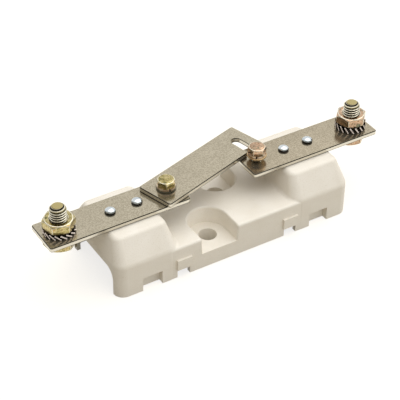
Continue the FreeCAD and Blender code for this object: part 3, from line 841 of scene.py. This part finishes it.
studio = {  # in metres and watts
    "floorSize": 6.0,
    "floorDrop": 0.0003,  # under the base, so that the two never share a plane
    "floorColour": "#A69F8F",
    "floorGlow": 0.76,  # seen directly or in metal only, so that the floor reads white and keeps the shadow
    "keyEnergy": 9.5, "keySize": 1.7, "keyColour": "#FFFEFC",
    "keyPlace": (0.42, 0.1, 1.35), "keyAim": (0.0, 0.0, 0.03),
    "lightSide": (0.42, -0.3, 0.86), "lightFade": (-0.3, 0.75),  # most light comes from above and the right
    "brightRoom": white, "darkRoom": "#675634", "roomStrength": 0.96,
    "whiteSide": (0.45, 0.65, 0.61), "whiteFade": (0.25, 0.65),  # where metal mirrors a white background
    "metalRoom": "#4E4A42", "metalSky": "#B3AFA6",  # what metal mirrors elsewhere, low down and overhead
    "skySide": (0.0, 0.0, 1.0), "skyFade": (0.2, 0.55),
}


def floorMaterial():
    material = bpy.data.materials.new("paleFloor")
    material.use_nodes = True
    tree = material.node_tree
    tree.nodes.clear()
    path = addNode(tree, "ShaderNodeLightPath").outputs
    direct = addNode(tree, "ShaderNodeMath", {"operation": "MAXIMUM"}, [
        path["Is Camera Ray"], path["Is Glossy Ray"]])
    seen = addNode(tree, "ShaderNodeMath", {"operation": "MAXIMUM"}, [direct, path["Is Transmission Ray"]])
    strength = addNode(tree, "ShaderNodeMath", {"operation": "MULTIPLY"}, [seen, studio["floorGlow"]])
    paint = addNode(tree, "ShaderNodeBsdfDiffuse", inputs={"Color": linearColour(studio["floorColour"])})
    glow = addNode(tree, "ShaderNodeEmission", inputs={"Strength": strength})
    both = addNode(tree, "ShaderNodeAddShader", inputs=[paint, glow])
    addNode(tree, "ShaderNodeOutputMaterial", inputs={"Surface": both})
    return material


floorMesh = bpy.data.meshes.new("floor")
half = studio["floorSize"] / 2
corners = [(-half, -half, 0), (half, -half, 0), (half, half, 0), (-half, half, 0)]
floorMesh.from_pydata(corners, [], [(0, 1, 2, 3)])
floorMesh.materials.append(floorMaterial())
floor = bpy.data.objects.new("floor", floorMesh)
bpy.context.scene.collection.objects.link(floor)
floor.location.z = -studio["floorDrop"]


def studioWorld():  # white behind the object and in metal turned that way; a dim room on its other side
    world = bpy.data.worlds.new("studio")
    world.use_nodes = True
    tree = world.node_tree
    tree.nodes.clear()
    direction = addNode(tree, "ShaderNodeTexCoord").outputs["Generated"]

    def turnedTo(side, fade):
        lean = addNode(tree, "ShaderNodeVectorMath", {"operation": "DOT_PRODUCT"}, [direction, studio[side]])
        return addNode(tree, "ShaderNodeMapRange", {"interpolation_type": "SMOOTHSTEP"}, {
            "Value": lean, "From Min": studio[fade][0], "From Max": studio[fade][1]})

    path = addNode(tree, "ShaderNodeLightPath").outputs
    room = addNode(tree, "ShaderNodeMix", {"data_type": "RGBA"}, {
        "Factor": turnedTo("lightSide", "lightFade"), beneath: linearColour(studio["darkRoom"]),
        onTop: linearColour(studio["brightRoom"])})
    soft = addNode(tree, "ShaderNodeBackground", inputs={"Color": room, "Strength": studio["roomStrength"]})
    around = addNode(tree, "ShaderNodeMix", {"data_type": "RGBA"}, {
        "Factor": turnedTo("skySide", "skyFade"), beneath: linearColour(studio["metalRoom"]),
        onTop: linearColour(studio["metalSky"])})
    inMetal = addNode(tree, "ShaderNodeBackground", inputs={"Color": around})
    unseen = addNode(tree, "ShaderNodeMixShader", inputs=[path["Is Glossy Ray"], soft, inMetal])
    mirrored = addNode(tree, "ShaderNodeMath", {"operation": "MULTIPLY"}, [
        path["Is Glossy Ray"], turnedTo("whiteSide", "whiteFade")])
    direct = addNode(tree, "ShaderNodeMath", {"operation": "MAXIMUM"}, [
        path["Is Camera Ray"], path["Is Transmission Ray"]])
    seen = addNode(tree, "ShaderNodeMath", {"operation": "MAXIMUM"}, [direct, mirrored])
    backdrop = addNode(tree, "ShaderNodeBackground", inputs={"Color": linearColour(white)})
    mixed = addNode(tree, "ShaderNodeMixShader", inputs=[seen, unseen, backdrop])
    addNode(tree, "ShaderNodeOutputWorld", inputs={"Surface": mixed})
    bpy.context.scene.world = world


studioWorld()
keyData = bpy.data.lights.new("keyLamp", "AREA")
keyData.shape = "SQUARE"
keyData.size = studio["keySize"]
keyData.energy = studio["keyEnergy"]
keyData.color = linearColour(studio["keyColour"])[:3]
key = bpy.data.objects.new("keyLamp", keyData)
bpy.context.scene.collection.objects.link(key)
key.location = studio["keyPlace"]
key.rotation_euler = (Vector(studio["keyAim"]) - key.location).to_track_quat("-Z", "Y").to_euler()

view = {  # found by fitting the bars, rivets, holes and corners to the photograph
    "yaw": -31.96, "pitch": 37.827, "roll": 0.761,  # degrees
    "target": (88.403, 154.813, -117.932), "distance": 1050.04,  # mm
    "focal": 1374.454, "frame": 400,  # pixels
    "sensor": 36.0, "near": 50.0, "far": 20000.0,  # mm
}
yaw, pitch, roll = (math.radians(view[turn]) for turn in ("yaw", "pitch", "roll"))
back = Vector((math.sin(yaw) * math.cos(pitch), -math.cos(yaw) * math.cos(pitch), math.sin(pitch)))
right = (-back).cross(Vector((0, 0, 1))).normalized()
above = right.cross(-back)
rightRolled = right * math.cos(roll) + above * math.sin(roll)
aboveRolled = above * math.cos(roll) - right * math.sin(roll)
cameraData = bpy.data.cameras.new("camera")
cameraData.sensor_width = view["sensor"]
cameraData.lens = view["focal"] / view["frame"] * view["sensor"]
cameraData.clip_start = view["near"] * mm
cameraData.clip_end = view["far"] * mm
camera = bpy.data.objects.new("camera", cameraData)
bpy.context.scene.collection.objects.link(camera)
axes = Matrix((rightRolled, aboveRolled, back)).transposed().to_4x4()
camera.matrix_world = Matrix.Translation((Vector(view["target"]) + back * view["distance"]) * mm) @ axes
bpy.context.scene.camera = camera
bpy.context.scene.view_settings.view_transform = "Standard"
print("studio and camera ready")
